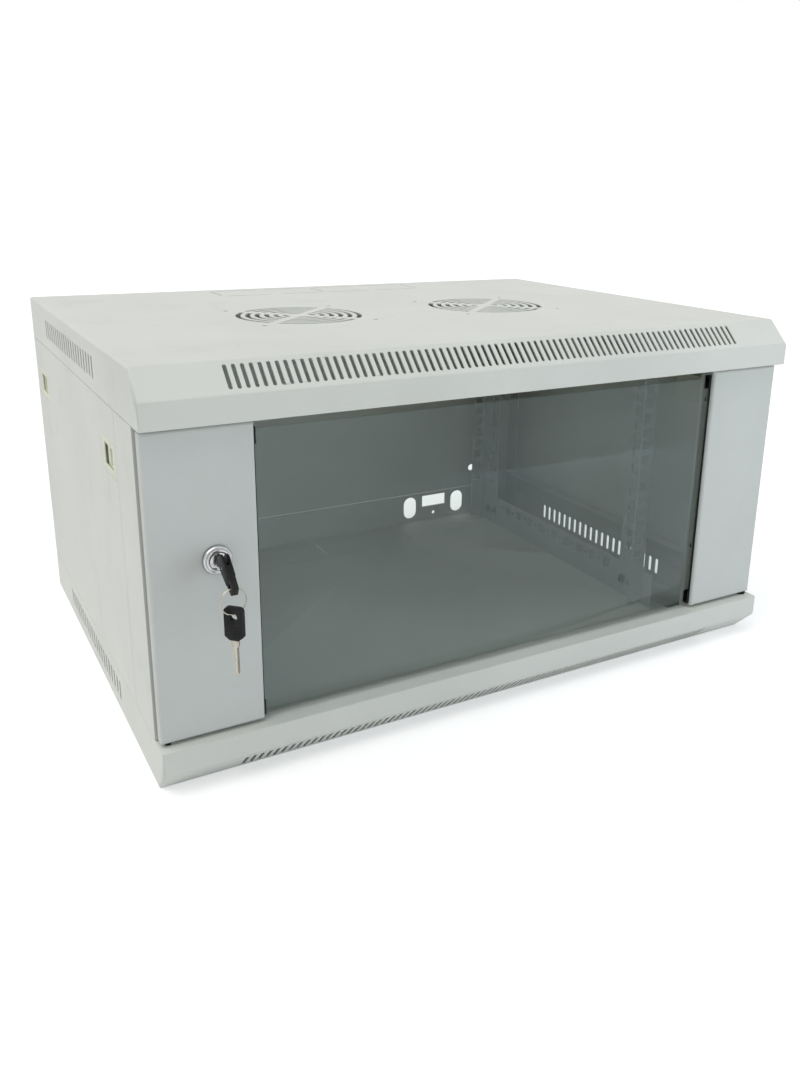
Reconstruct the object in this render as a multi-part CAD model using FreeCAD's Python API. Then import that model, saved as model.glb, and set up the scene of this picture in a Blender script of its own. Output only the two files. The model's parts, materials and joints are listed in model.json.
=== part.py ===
import FreeCAD, Part
import math
import os

# Wall mount network cabinet: a 19 inch frame in a folded steel case with a glazed, lockable door.
# Millimetres. X runs to the right, Y to the rear, Z up. The front faces -Y, and the origin is
# the centre of the underside.

V = FreeCAD.Vector

# ---- case ----
depth = 450.0
height = 318.0
rack_clear_half = 225.0
sheet = 1.2
bend = 2.0
cover_rim = 40.0
bevel_depth = 20.0
bevel_height = 20.0
ledge_depth = 20.0
ledge_hem = 8.0
seam = 0.5
bend_clear = 0.05

# ---- vents and cable entries ----
bevel_slot = 3.0
bevel_slot_pitch = 6.3
bevel_slot_length = 20.5
bevel_slot_margin = 60.0
side_slot = 4.6
side_slot_pitch = 10.8
side_slot_count = 21
side_slot_length = 18.0
side_slot_from_face = 12.0
side_slot_centre_y = 25.0
fan_centre_x = 101.0
fan_centre_y = -10.0
fan_ring_inner = 10.5
fan_ring_slot = 4.5
fan_ring_pitch = 8.5
fan_rings = 6
fan_spoke = 8.0
fan_screw_spacing = 105.0
fan_screw_r = 2.25
knockout_width = 117.0
knockout_length = 48.0
knockout_inset = 15.0
knockout_slit = 1.6
knockout_bridge = 5.0
entry_centre_x = 180.0
entry_oval_offset = 36.0
entry_oval_width = 18.6
entry_oval_height = 29.0
entry_oval_z = 21.5
entry_window_width = 35.0
entry_window_height = 15.0
entry_window_z = 28.0
entry_hole_r = 2.2
entry_hole_z = 10.5

# ---- columns and rails of the frame ----
column_setback = 21.5
column_width = 55.0
column_reach = 38.0
column_gap = 2.9
column_inner_depth = 44.0
column_lip = 12.0
column_foot_depth = 38.0
panel_landing = 4.0
rear_column_width = 16.3
rear_column_inner_depth = 28.0
column_slot_length = 14.0
column_slot_height = 3.6
column_slot_setback = 37.0
column_slot_drop = 82.0
sill_height = 25.0
sill_above_rim = 18.0
sill_flange = 12.0
sill_lap = 14.0

# ---- rack ----
rack_pitch = 44.45
rack_above_rim = 15.0
rack_hole_inset = 7.55
rack_hole = 9.5
rack_first_hole = 6.35
rack_hole_step = 15.875
rail_sheet = 1.5
rail_flange = 18.6
rail_web = 37.0
rail_web_hole_setback = 24.5
rail_end_gap = 6.0
front_rail_setback = 104.0
rear_rail_inset = 25.0

# ---- depth brackets ----
bracket_lead = 14.0
bracket_tail = 12.0
bracket_height = 38.0
bracket_foot = 14.0
bracket_hole_pitch = 25.0
bracket_hole_z = 27.0
bracket_small_r = 1.8
bracket_stud_inset = 20.0
stud_r = 2.5
stud_clear = 0.1
stud_length = 8.0
nut_flats = 8.0
nut_height = 4.0
bolt_r = 3.0
bolt_head_r = 5.0
bolt_head = 3.0
bolt_nut_flats = 10.0
bolt_nut_height = 5.0
bolt_z = 13.0
bolt_pair_pitch = 15.0
bolt_tail = 1.0

# ---- rear panel and wall fixing ----
wall_hole_r = 4.25
wall_hole_inset_x = 62.0
wall_hole_inset_z = 66.0
panel_stud_inset = 20.0

# ---- side panel hooks ----
hook_half = 12.0
hook_drop = 9.0
hook_rise = 10.0

# ---- side panel latches ----
latch_length = 46.0
latch_height = 28.0
latch_depth = 10.0
latch_drop = 82.0
latch_inset = 5.0
latch_lip = 1.4
latch_wall = 2.0
latch_cavity = 34.0
latch_cavity_height = 20.4
latch_window_height = 17.0
latch_clear = 0.3
slider_length = 22.0
slider_pocket = 16.0
slider_pocket_depth = 4.6
latch_travel = 6.0
latch_window = slider_length + latch_travel
tongue_thick = 3.0
tongue_height = 8.0
tongue_hold = 5.0
latch_spring_r = 3.2
latch_spring_wire = 0.35

# ---- door ----
door_setback = 8.0
door_thick = 9.7
door_gap = 2.5
door_side_gap = 1.5
plate_width = 79.0
plate_bend = 2.5
glass_thick = 4.0
glass_setback = 5.0
glass_lap = 12.5
glass_low_gap = 3.5
glass_top_gap = 6.5
seal_show = 4.0
seal_lap = 11.5
seal_lip = 1.4
seal_clear = 0.2
clip_width = 7.0
clip_lap = 6.0
clip_height = 10.5
clip_over = 2.0
retainer_lap = 10.0
retainer_gap = 0.3

# ---- door hinge ----
hinge_inset = 7.5
hinge_setback = 5.0
pin_r = 2.5
pin_clear = 0.05
pin_collar_r = 3.4
pin_collar = 2.2
pin_reach = 6.0
lower_pin_length = 26.0
upper_pin_length = 46.0
guide_drop = 30.0
guide_half = 8.0
guide_clear = 0.5
washer_r = 4.6
washer_clear = 0.1
pin_spring_r = 3.0
pin_spring_wire = 0.35

# ---- lock and keys ----
lock_inset = 49.5
lock_rise = 20.0
bezel_r = 11.0
bezel_height = 4.5
bezel_round = 1.5
barrel_r = 9.5
barrel_end_gap = 1.5
barrel_clear = 0.1
plug_r = 6.5
plug_clear = 0.05
plug_proud = 0.3
lock_nut_flats = 24.0
lock_nut_height = 3.6
cam_length = 38.0
cam_half = 8.0
cam_thick = 2.0
cam_screw_r = 2.0
cam_screw_head_r = 4.2
cam_screw_head = 2.4
cam_screw_reach = 3.0
keyway_width = 2.2
keyway_height = 8.0
keyway_depth = 18.0
keeper_clear = 2.0
keeper_slot_width = 5.5
key_clear = 0.1
key_neck = 13.0
key_neck_height = 5.0
key_eye_r = 3.0
key_eye_slot = 2.6
key_pin_r = 1.0
key_pin_clear = 0.05
key_blade_root = 2.0
head_thick = 5.4
head_cap_r = 7.0
head_cap_rise = 1.0
head_offset = 3.0
head_length = 23.0
head_end_half = 4.0
head_end_round = 2.0
head_lean = 62.0
head_tab = 3.0
head_tab_length = 10.0
head_hole_r = 2.5
head_hole_inset = 5.5
head_slot_deep = 2.0
ring_r = 10.6
ring_wire = 0.75
ring_play = 0.4
spare_yaw = 45.0
spare_head = 28.0
spare_width = 15.0
spare_thick = 4.4
spare_tab = 1.6
spare_hole_r = 3.6
spare_hole_drop = 8.0
spare_hole_play = 1.2
spare_tab_below = 2.0
spare_round = 5.0
spare_blade = 30.0
spare_blade_width = 7.0
spare_blade_thick = 2.0

# ---- cutting tools ----
cut_over = 1.0

# ---- worked out from the values above ----
half_w = rack_clear_half + rail_flange + rail_sheet + bracket_foot + column_gap + column_reach
half_d = depth / 2.0
skin_x = half_w - sheet
base_x = half_w - 2.0 * sheet
rear_in = half_d - sheet
front_y = -half_d
low_rim = cover_rim
high_rim = height - cover_rim
column_inner_x = half_w - column_reach
column_front_y = front_y + column_setback
knockout_rear = half_d - knockout_inset
knockout_front = knockout_rear - knockout_length
rack_hole_x = rack_clear_half + rack_hole_inset
rack_base = low_rim + rack_above_rim
rack_units = int((high_rim - rack_base) / rack_pitch)
front_rail_y = front_y + front_rail_setback
rear_rail_y = half_d - rear_rail_inset
bracket_front_y = front_rail_y - bracket_lead
bracket_rear_y = rear_rail_y + bracket_tail
wall_hole_x = half_w - wall_hole_inset_x
wall_hole_low_z = wall_hole_inset_z
wall_hole_high_z = height - wall_hole_inset_z
latch_z = height - latch_drop
lock_x = lock_inset - half_w
lock_z = height / 2.0 + lock_rise
panel_front = column_front_y + column_width + seam
rear_skin_front = rear_in - rear_column_width
panel_rear = rear_skin_front - seam
door_front_y = front_y + door_setback
door_back_y = door_front_y + door_thick
door_low = low_rim + door_gap
door_high = high_rim - door_gap
door_half = half_w - door_side_gap
plate_inner_x = door_half - plate_width
plate_in = door_front_y + sheet
hinge_x = half_w - hinge_inset
hinge_y = door_front_y + hinge_setback
glass_y = door_front_y + glass_setback
glass_back_y = glass_y + glass_thick
glass_half = plate_inner_x + glass_lap
glass_low = door_low + glass_low_gap
glass_high = door_high - glass_top_gap
post_low = bend + bend_clear
post_high = height - post_low


def block(x0, x1, y0, y1, z0, z1):
    """A box between two corners."""
    low = V(min(x0, x1), min(y0, y1), min(z0, z1))
    return Part.makeBox(abs(x1 - x0), abs(y1 - y0), abs(z1 - z0), low)


def rod(x, y, z, r, length, axis):
    """A round bar of radius r from a point, along a unit axis."""
    return Part.makeCylinder(r, length, V(x, y, z), axis)


def prism(points, normal, length):
    """A flat outline pushed along a vector."""
    wire = Part.makePolygon(points + [points[0]])
    return Part.Face(wire).extrude(normal * length)


def fuse(shapes):
    """One solid out of touching solids, with no seams left in its flat faces."""
    return shapes[0].multiFuse(shapes[1:]).removeSplitter()


def mirror_x(shape):
    return shape.mirror(V(0, 0, 0), V(1, 0, 0))


def mirror_z(shape):
    return shape.mirror(V(0, 0, height / 2.0), V(0, 0, 1))


def mirror_y(shape, y):
    return shape.mirror(V(0, y, 0), V(0, 1, 0))


def round_edges(shape, radius, keep, along=None):
    """Rounds the edges whose both ends pass the test, or of those the ones along a direction."""
    edges = [e for e in shape.Edges if all(keep(v.Point) for v in e.Vertexes)
             and (along is None or abs(e.tangentAt(e.FirstParameter).dot(along)) > 0.99)]
    return shape.makeFillet(radius, edges)


def hexagon(x, y, z, flats, length, axis):
    """A six-sided bar across its flats, from a point along an axis."""
    r = flats / 2.0 / math.cos(math.radians(30))
    corners = [V(r * math.cos(math.radians(60 * k)), r * math.sin(math.radians(60 * k)), 0)
               for k in range(6)]
    bar = prism(corners, V(0, 0, 1), length)
    bar.Placement = FreeCAD.Placement(V(x, y, z), FreeCAD.Rotation(V(0, 0, 1), axis))
    return bar


def nut(x, y, z, hole_r, flats, length, axis):
    return hexagon(x, y, z, flats, length, axis).cut(rod(x, y, z, hole_r, length, axis))


def coil(start, axis, r, wire_r, length, turns):
    """A round wire spring with its centre line starting at a point and running along an axis."""
    run = length - 2.0 * wire_r
    helix = Part.makeHelix(run / turns, run, r)
    section = Part.Wire(Part.Circle(V(r, 0, 0), V(0, 1, 0), wire_r).toShape())
    spring = Part.Wire(helix).makePipeShell([section], True, True)
    turn = FreeCAD.Rotation(V(0, 0, 1), axis)
    spring.Placement = FreeCAD.Placement(start + axis * wire_r, turn)
    return spring


def rack_hole_heights():
    """Centre heights of the square holes: three to each rack unit."""
    return [rack_base + unit * rack_pitch + rack_first_hole + k * rack_hole_step
            for unit in range(rack_units) for k in range(3)]


# ---- covers ----

def cover_profile(inset):
    """The side outline of a cover, set in from its outer face."""
    slope = math.atan2(bevel_height, bevel_depth)
    low_y = front_y + bevel_depth + inset * math.tan(slope / 2.0)
    low_z = bevel_height + inset * math.tan((math.pi / 2.0 - slope) / 2.0)
    top = cover_rim + (cut_over if inset else 0.0)
    return [V(-half_w + inset, half_d - inset, inset), V(-half_w + inset, low_y, inset),
            V(-half_w + inset, front_y + inset, low_z), V(-half_w + inset, front_y + inset, top),
            V(-half_w + inset, half_d - inset, top)]


def cover_tray():
    """A folded tray that stands on its face, with a bevelled front and a ledge round to the rear."""
    outer = prism(cover_profile(0.0), V(1, 0, 0), 2.0 * half_w)
    outer = round_edges(outer, bend, lambda p: p.z < cover_rim - 0.01)
    inner = prism(cover_profile(sheet), V(1, 0, 0), 2.0 * skin_x)
    inner = round_edges(inner, bend - sheet, lambda p: p.z < cover_rim - 0.01)
    ledge_y = front_y + ledge_depth
    ledge = block(-skin_x, skin_x, front_y + sheet, ledge_y, low_rim - sheet, low_rim)
    hem = block(-skin_x, skin_x, ledge_y - sheet, ledge_y, low_rim - ledge_hem, low_rim)
    tray = fuse([outer.cut(inner), ledge, hem])
    return tray


def bevel_slots():
    """The row of slots across the bevel, each square to its face."""
    slope = math.atan2(bevel_height, bevel_depth)
    along = V(0, -math.cos(slope), math.sin(slope))
    out = V(0, -math.sin(slope), -math.cos(slope))
    middle = V(0, front_y + bevel_depth / 2.0, bevel_height / 2.0)
    count = int(2.0 * (half_w - bevel_slot_margin) / bevel_slot_pitch)
    corner = middle - along * (bevel_slot_length / 2.0) - out * (2.0 * sheet)
    slots = []
    for k in range(count):
        x = (k - (count - 1) / 2.0) * bevel_slot_pitch - bevel_slot / 2.0
        base = corner + V(x, 0, 0)
        outline = [base, base + along * bevel_slot_length,
                   base + along * bevel_slot_length + out * (4.0 * sheet), base + out * (4.0 * sheet)]
        slots.append(prism(outline, V(1, 0, 0), bevel_slot))
    return slots


def side_slots():
    """Upright slots through both side flanges."""
    slots = []
    low = side_slot_from_face
    for k in range(side_slot_count):
        y = side_slot_centre_y + (k - (side_slot_count - 1) / 2.0) * side_slot_pitch
        for side in (-1.0, 1.0):
            x0 = side * (half_w - 2.0 * sheet)
            x1 = side * (half_w + sheet)
            slots.append(block(x0, x1, y - side_slot / 2.0, y + side_slot / 2.0,
                               low, low + side_slot_length))
    return slots


def knockout_slits():
    """Slits round two cable knock-outs, with bridges left at their corners."""
    z0, z1 = -sheet, 2.0 * sheet
    slits = []
    for x in (-knockout_width, 0.0, knockout_width):
        slits.append(block(x - knockout_slit / 2.0, x + knockout_slit / 2.0,
                           knockout_front + knockout_bridge, knockout_rear - knockout_bridge, z0, z1))
    span = knockout_width / 2.0
    for middle in (-span, span):
        for y in (knockout_front, knockout_rear):
            for part in (-0.5, 0.5):
                x = middle + part * span
                half = span / 2.0 - knockout_bridge
                slits.append(block(x - half, x + half, y - knockout_slit / 2.0,
                                   y + knockout_slit / 2.0, z0, z1))
    return slits


def fan_grille(x):
    """Rings of arc slots broken by four diagonal spokes, and four screw holes."""
    rings = []
    up = V(0, 0, 1)
    for k in range(fan_rings):
        r = fan_ring_inner + k * fan_ring_pitch
        outer = rod(x, fan_centre_y, -sheet, r + fan_ring_slot, 3.0 * sheet, up)
        rings.append(outer.cut(rod(x, fan_centre_y, -sheet, r, 3.0 * sheet, up)))
    reach = fan_ring_inner + fan_rings * fan_ring_pitch
    spokes = []
    for angle in (45.0, 135.0):
        bar = block(-reach, reach, -fan_spoke / 2.0, fan_spoke / 2.0, -2.0 * sheet, 3.0 * sheet)
        bar.Placement = FreeCAD.Placement(V(x, fan_centre_y, 0), FreeCAD.Rotation(up, angle))
        spokes.append(bar)
    cutters = [piece for ring in rings for piece in ring.cut(spokes).Solids]
    half = fan_screw_spacing / 2.0
    for dx in (-half, half):
        for dy in (-half, half):
            cutters.append(rod(x + dx, fan_centre_y + dy, -sheet, fan_screw_r, 3.0 * sheet, up))
    return cutters


def pin_holes():
    """Hinge pin holes through the ledge at both ends, so that the door fits either way round."""
    z = low_rim - 2.0 * sheet
    return [rod(x, hinge_y, z, pin_r + pin_clear, 4.0 * sheet, V(0, 0, 1)) for x in (-hinge_x, hinge_x)]


def cable_entries():
    """Two ovals, a window and a small hole in the rear flange, on each side."""
    cutters = []
    y = half_d - 2.0 * sheet
    back = V(0, 1, 0)
    reach = 4.0 * sheet
    for side in (-1.0, 1.0):
        middle = side * entry_centre_x
        r = entry_oval_width / 2.0
        straight = entry_oval_height / 2.0 - r
        for offset in (-entry_oval_offset, entry_oval_offset):
            x = middle + offset
            slot = fuse([rod(x, y, entry_oval_z - straight, r, reach, back),
                         rod(x, y, entry_oval_z + straight, r, reach, back),
                         block(x - r, x + r, y, y + reach,
                               entry_oval_z - straight, entry_oval_z + straight)])
            cutters.append(slot)
        half_x, half_z = entry_window_width / 2.0, entry_window_height / 2.0
        cutters.append(block(middle - half_x, middle + half_x, y, y + reach,
                             entry_window_z - half_z, entry_window_z + half_z))
        cutters.append(rod(middle, y, entry_hole_z, entry_hole_r, reach, back))
    return cutters


def foot_studs():
    """Places of the weld studs on a cover: one to each column foot, three to each bracket foot."""
    front = column_front_y + column_foot_depth / 2.0
    rear = rear_in - sheet - rear_column_inner_depth / 2.0
    x = (column_inner_x + base_x) / 2.0
    bracket_x = rack_clear_half + rail_flange + rail_sheet + bracket_foot / 2.0
    reach = (bracket_rear_y - bracket_front_y) / 2.0 - bracket_stud_inset
    middle = (bracket_rear_y + bracket_front_y) / 2.0
    places = [(x, front), (x, rear)]
    places += [(bracket_x, middle + k * reach) for k in (-1.0, 0.0, 1.0)]
    return places + [(-a, b) for a, b in places]


def cover(extra):
    tray = cover_tray()
    cutters = bevel_slots() + side_slots() + knockout_slits() + pin_holes() + extra
    tray = tray.cut(cutters)
    studs = [rod(x, y, sheet / 2.0, stud_r, sheet / 2.0 + stud_length, V(0, 0, 1))
             for x, y in foot_studs()]
    return tray.fuse(studs)


def frame_nuts():
    """Nuts on the weld studs of both covers."""
    nuts = []
    for x, y in foot_studs():
        foot = rail_sheet if abs(x) < column_inner_x else sheet
        one = nut(x, y, sheet + foot, stud_r + stud_clear, nut_flats, nut_height, V(0, 0, 1))
        nuts += [one, mirror_z(one)]
    return nuts


# ---- frame ----

def foot_holes():
    return [rod(x, y, 0, stud_r + stud_clear, 3.0 * sheet, V(0, 0, 1)) for x, y in foot_studs()]


def drill_feet(shape):
    holes = foot_holes()
    return shape.cut(holes + [mirror_z(h) for h in holes])


def front_column(keeper):
    """Right front column: a folded post with feet, a panel landing and accessory slots."""
    y0 = column_front_y
    low, high = post_low, post_high
    inner_y = y0 + column_inner_depth
    foot = block(column_inner_x, base_x, y0, y0 + column_foot_depth, sheet, 2.0 * sheet)
    post = fuse([
        block(skin_x, half_w, y0, y0 + column_width, low_rim + seam, high_rim - seam),
        block(base_x, skin_x, y0, y0 + column_width + panel_landing, low, high),
        block(column_inner_x, skin_x, y0, y0 + sheet, low, high),
        block(column_inner_x, column_inner_x + sheet, y0, inner_y, low, high),
        block(column_inner_x, column_inner_x + column_lip, inner_y - sheet, inner_y, low, high),
        foot, mirror_z(foot)])
    slots = []
    for z in (column_slot_drop, height - column_slot_drop):
        y = y0 + column_slot_setback
        slots.append(block(column_inner_x - sheet, column_inner_x + 2.0 * sheet,
                           y - column_slot_length, y,
                           z - column_slot_height / 2.0, z + column_slot_height / 2.0))
    if keeper:
        slots.append(block(column_inner_x - sheet, column_inner_x + 2.0 * sheet,
                           y0 + sheet, y0 + sheet + keeper_slot_width,
                           lock_z - cam_length - keeper_clear, lock_z + cam_half + keeper_clear))
    return drill_feet(post.cut(slots))


def rear_column():
    """Right rear column: a folded post behind the side panel's rear edge."""
    low, high = post_low, post_high
    inner_y = rear_in - rear_column_inner_depth
    foot = block(column_inner_x, base_x, inner_y, rear_in - sheet, sheet, 2.0 * sheet)
    post = fuse([
        block(skin_x, half_w, rear_skin_front, rear_in, low_rim + seam, high_rim - seam),
        block(base_x, skin_x, rear_skin_front - panel_landing, rear_in, low, high),
        block(column_inner_x, skin_x, rear_in - sheet, rear_in, low, high),
        block(column_inner_x, column_inner_x + sheet, inner_y, rear_in, low, high),
        foot, mirror_z(foot)])
    return drill_feet(post).cut([panel_stud(z, stud_r + stud_clear) for z in panel_stud_heights()])


def side_sill():
    """Right lower sill: an angle that joins the two columns just above the cover's rim."""
    y0 = column_front_y + column_width - sill_lap
    y1 = rear_in - sheet - sill_lap / 2.0
    top = low_rim + sill_above_rim
    inner = base_x - sheet
    return fuse([block(inner, base_x, y0, y1, top - sill_height, top),
                 block(inner - sill_flange, base_x, y0, y1, top - sheet, top)])


# ---- rack rails and depth brackets ----

def rack_rail():
    """Right front rail: an angle with square holes in both legs."""
    x0 = rack_clear_half
    x1 = rack_clear_half + rail_flange
    y0 = front_rail_y
    z0, z1 = rail_end_gap, height - rail_end_gap
    rail = fuse([block(x0, x1, y0, y0 + rail_sheet, z0, z1),
                 block(x1 - rail_sheet, x1, y0, y0 + rail_web, z0, z1)])
    half = rack_hole / 2.0
    web_y = y0 + rail_web_hole_setback
    holes = []
    for z in rack_hole_heights():
        holes.append(block(rack_hole_x - half, rack_hole_x + half, y0 - rail_sheet,
                           y0 + 2.0 * rail_sheet, z - half, z + half))
        holes.append(block(x1 - 2.0 * rail_sheet, x1 + rail_sheet, web_y - half, web_y + half,
                           z - half, z + half))
    for y, z in bolt_places(y0, 1.0):
        holes.append(rod(x1 - 2.0 * rail_sheet, y, z, bolt_r + stud_clear, 4.0 * rail_sheet, V(1, 0, 0)))
        holes.append(rod(x1 - 2.0 * rail_sheet, y, height - z, bolt_r + stud_clear,
                         4.0 * rail_sheet, V(1, 0, 0)))
    return rail.cut(holes)


def bolt_places(rail_y, way):
    """The two bolts that hold one end of a rail to its bracket."""
    first = rail_y + way * (rail_web_hole_setback - bolt_pair_pitch / 2.0)
    z = rail_end_gap + bolt_z
    return [(first, z), (first + way * bolt_pair_pitch, z)]


def depth_bracket():
    """Right lower bracket: carries both rails, with holes along it to move them in depth."""
    x0 = rack_clear_half + rail_flange
    x1 = x0 + rail_sheet
    shape = fuse([block(x0, x1, bracket_front_y, bracket_rear_y, sheet, sheet + bracket_height),
                  block(x0, x1 + bracket_foot, bracket_front_y, bracket_rear_y,
                        sheet, sheet + rail_sheet)])
    half = rack_hole / 2.0
    count = int((rear_rail_y - rail_web - front_rail_y - rail_web) / bracket_hole_pitch)
    middle = (rear_rail_y + front_rail_y) / 2.0
    holes = []
    for k in range(count):
        y = middle + (k - (count - 1) / 2.0) * bracket_hole_pitch
        z = sheet + bracket_hole_z
        holes.append(block(x0 - rail_sheet, x1 + rail_sheet, y - half, y + half, z - half, z + half))
        holes.append(rod(x0 - rail_sheet, y + bracket_hole_pitch / 2.0, z, bracket_small_r,
                         4.0 * rail_sheet, V(1, 0, 0)))
    for y, z in bolt_places(front_rail_y, 1.0) + bolt_places(rear_rail_y, -1.0):
        holes.append(rod(x0 - rail_sheet, y, z, bolt_r + stud_clear, 4.0 * rail_sheet, V(1, 0, 0)))
    return shape.cut(holes).cut(foot_holes())


def fourfold(shape):
    """The shape with its copies mirrored across the middle height and to the left side."""
    pair = [shape, mirror_z(shape)]
    return pair + [mirror_x(one) for one in pair]


def rail_bolts():
    """Bolts and their nuts, as pairs: heads inside the rack opening, nuts behind the bracket."""
    head_x = rack_clear_half + rail_flange - rail_sheet
    nut_x = rack_clear_half + rail_flange + rail_sheet
    shank = 2.0 * rail_sheet + bolt_nut_height + bolt_tail
    bolts = []
    nuts = []
    for y, z in bolt_places(front_rail_y, 1.0) + bolt_places(rear_rail_y, -1.0):
        bolt = fuse([rod(head_x - bolt_head, y, z, bolt_head_r, bolt_head, V(1, 0, 0)),
                     rod(head_x, y, z, bolt_r, shank, V(1, 0, 0))])
        one_nut = nut(nut_x, y, z, bolt_r + stud_clear, bolt_nut_flats, bolt_nut_height, V(1, 0, 0))
        bolts.extend(fourfold(bolt))
        nuts.extend(fourfold(one_nut))
    return bolts, nuts


# ---- rear panel ----

def panel_stud_heights():
    low, high = low_rim + panel_stud_inset, high_rim - panel_stud_inset
    return [low, (low + high) / 2.0, high]


def panel_stud(z, r):
    """A weld stud's bar from the rear panel through the right rear column."""
    x = (column_inner_x + base_x) / 2.0
    return rod(x, rear_in + sheet / 2.0, z, r, sheet / 2.0 + stud_length, V(0, -1, 0))


def rear_panel():
    z0, z1 = low_rim + seam, high_rim - seam
    plate = block(-half_w, half_w, rear_in, half_d, z0, z1)
    holes = [rod(x, rear_in - sheet, z, wall_hole_r, 4.0 * sheet, V(0, 1, 0))
             for x in (-wall_hole_x, wall_hole_x) for z in (wall_hole_low_z, wall_hole_high_z)]
    studs = [panel_stud(z, stud_r) for z in panel_stud_heights()]
    return plate.cut(holes).fuse(studs + [mirror_x(s) for s in studs])


def rear_panel_nuts():
    x = (column_inner_x + base_x) / 2.0
    nuts = [nut(x, rear_in - sheet, z, stud_r + stud_clear, nut_flats, nut_height, V(0, -1, 0))
            for z in panel_stud_heights()]
    return nuts + [mirror_x(n) for n in nuts]


# ---- side panels and their latches ----

def latch_centres():
    front = panel_front + latch_inset + latch_length / 2.0
    rear = panel_rear - latch_inset - latch_length / 2.0
    return front, rear


def side_panel():
    """Right side panel: a plate with two hooks at the foot and two latch windows."""
    z0, z1 = low_rim + seam, high_rim - seam
    plate = block(skin_x, half_w, panel_front, panel_rear, z0, z1)
    hooks = [block(base_x, skin_x, y - hook_half, y + hook_half, low_rim - hook_drop, low_rim + hook_rise)
             for y in latch_centres()]
    windows = [block(base_x - sheet, half_w + sheet, y - latch_length / 2.0, y + latch_length / 2.0,
                     latch_z - latch_height / 2.0, latch_z + latch_height / 2.0)
               for y in latch_centres()]
    return fuse([plate] + hooks).cut(windows)


def latch_housing(y):
    """Right front latch's cup, with a lip round its mouth and a slot for the tongue."""
    half_y, half_z = latch_length / 2.0, latch_height / 2.0
    x0 = half_w - latch_depth
    cup = block(x0, half_w, y - half_y, y + half_y, latch_z - half_z, latch_z + half_z)
    cavity = block(x0 + latch_wall, half_w - latch_lip, y - latch_cavity / 2.0,
                   y + latch_cavity / 2.0, latch_z - latch_cavity_height / 2.0,
                   latch_z + latch_cavity_height / 2.0)
    mouth = block(x0 + latch_wall, half_w, y - latch_window / 2.0, y + latch_window / 2.0,
                  latch_z - latch_window_height / 2.0, latch_z + latch_window_height / 2.0)
    x1 = base_x - latch_clear
    slot = block(x1 - tongue_thick - latch_clear, x1 + latch_clear, y - half_y - cut_over, y,
                 latch_z - tongue_height / 2.0 - latch_clear,
                 latch_z + tongue_height / 2.0 + latch_clear)
    return cup.cut([cavity, mouth, slot])


def latch_slider(y):
    """Right front latch's slider: a finger pocket, and a tongue behind the column's landing."""
    x0 = half_w - latch_depth + latch_wall + latch_clear
    x1 = half_w - latch_lip - latch_clear
    y0 = y - latch_cavity / 2.0 + latch_clear
    half_z = latch_cavity_height / 2.0 - latch_clear
    body = block(x0, x1, y0, y0 + slider_length, latch_z - half_z, latch_z + half_z)
    half = slider_pocket / 2.0
    middle = y0 + slider_length / 2.0
    pocket = block(x1 - slider_pocket_depth, x1 + cut_over, middle - half, middle + half,
                   latch_z - half, latch_z + half)
    tip = column_front_y + column_width + panel_landing - tongue_hold
    outer = base_x - latch_clear
    tongue = block(outer - tongue_thick, outer, tip, y0, latch_z - tongue_height / 2.0,
                   latch_z + tongue_height / 2.0)
    return fuse([body.cut(pocket), tongue])


def latch_spring(y):
    x0 = half_w - latch_depth + latch_wall
    x1 = half_w - latch_lip
    start = y - latch_cavity / 2.0 + latch_clear + slider_length
    room = y + latch_cavity / 2.0 - start
    return coil(V((x0 + x1) / 2.0, start, latch_z), V(0, 1, 0),
                min(latch_spring_r, (x1 - x0) / 2.0 - 2.0 * latch_spring_wire),
                latch_spring_wire, room, 5)


# ---- door ----

def door_plate():
    """Right plate: a shallow tray, open at the back, with a short fold beside the glass."""
    outer = block(plate_inner_x, door_half, door_front_y, door_back_y, door_low, door_high)
    outer = round_edges(outer, plate_bend, lambda p: p.y < door_front_y + 0.01)
    inner = block(plate_inner_x + sheet, door_half - sheet, plate_in, door_back_y + cut_over,
                  door_low + sheet, door_high - sheet)
    inner = round_edges(inner, plate_bend - sheet, lambda p: p.y < plate_in + 0.01)
    fold_back = glass_y - seal_lip
    opening = block(plate_inner_x - cut_over, plate_inner_x + sheet, fold_back, door_back_y + cut_over,
                    door_low + sheet, door_high - sheet)
    return outer.cut([inner, opening])


def hinge_plate():
    """The hinge-side plate, with pin holes and a welded guide for the sprung pin."""
    plate = door_plate()
    guide_z = door_high - sheet - guide_drop
    guide = block(hinge_x - guide_half, door_half - sheet, plate_in, door_back_y - guide_clear,
                  guide_z, guide_z + sheet)
    bore = rod(hinge_x, hinge_y, door_low - cut_over, pin_r + pin_clear,
               door_high - door_low + 2.0 * cut_over, V(0, 0, 1))
    return fuse([plate, guide]).cut(bore)


def lock_plate():
    """The lock-side plate, bored for the lock's barrel."""
    bore = rod(lock_x, door_front_y - cut_over, lock_z, barrel_r + barrel_clear, 3.0 * sheet, V(0, 1, 0))
    return mirror_x(door_plate()).cut(bore)


def door_glass():
    return block(-glass_half, glass_half, glass_y, glass_back_y, glass_low, glass_high)


def glass_seal():
    """Right rubber strip: fills the space behind the plate and shows beside its fold."""
    z0 = glass_low + clip_height
    z1 = glass_high - clip_height
    show = plate_inner_x - seal_show
    back = plate_inner_x + seal_lap
    return fuse([block(show, back, glass_y - seal_lip, glass_y, z0, z1),
                 block(plate_inner_x + plate_bend + seal_clear, back, plate_in, glass_y, z0, z1)])


def glass_clip():
    """Clip on the glass's upper right corner, behind the plate's fold."""
    x0, x1 = plate_inner_x - clip_width, plate_inner_x + clip_lap
    shell = block(x0, x1, glass_y - seal_lip, door_back_y, glass_high - clip_height,
                  glass_high + clip_over)
    return shell.cut(door_glass())


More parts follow.
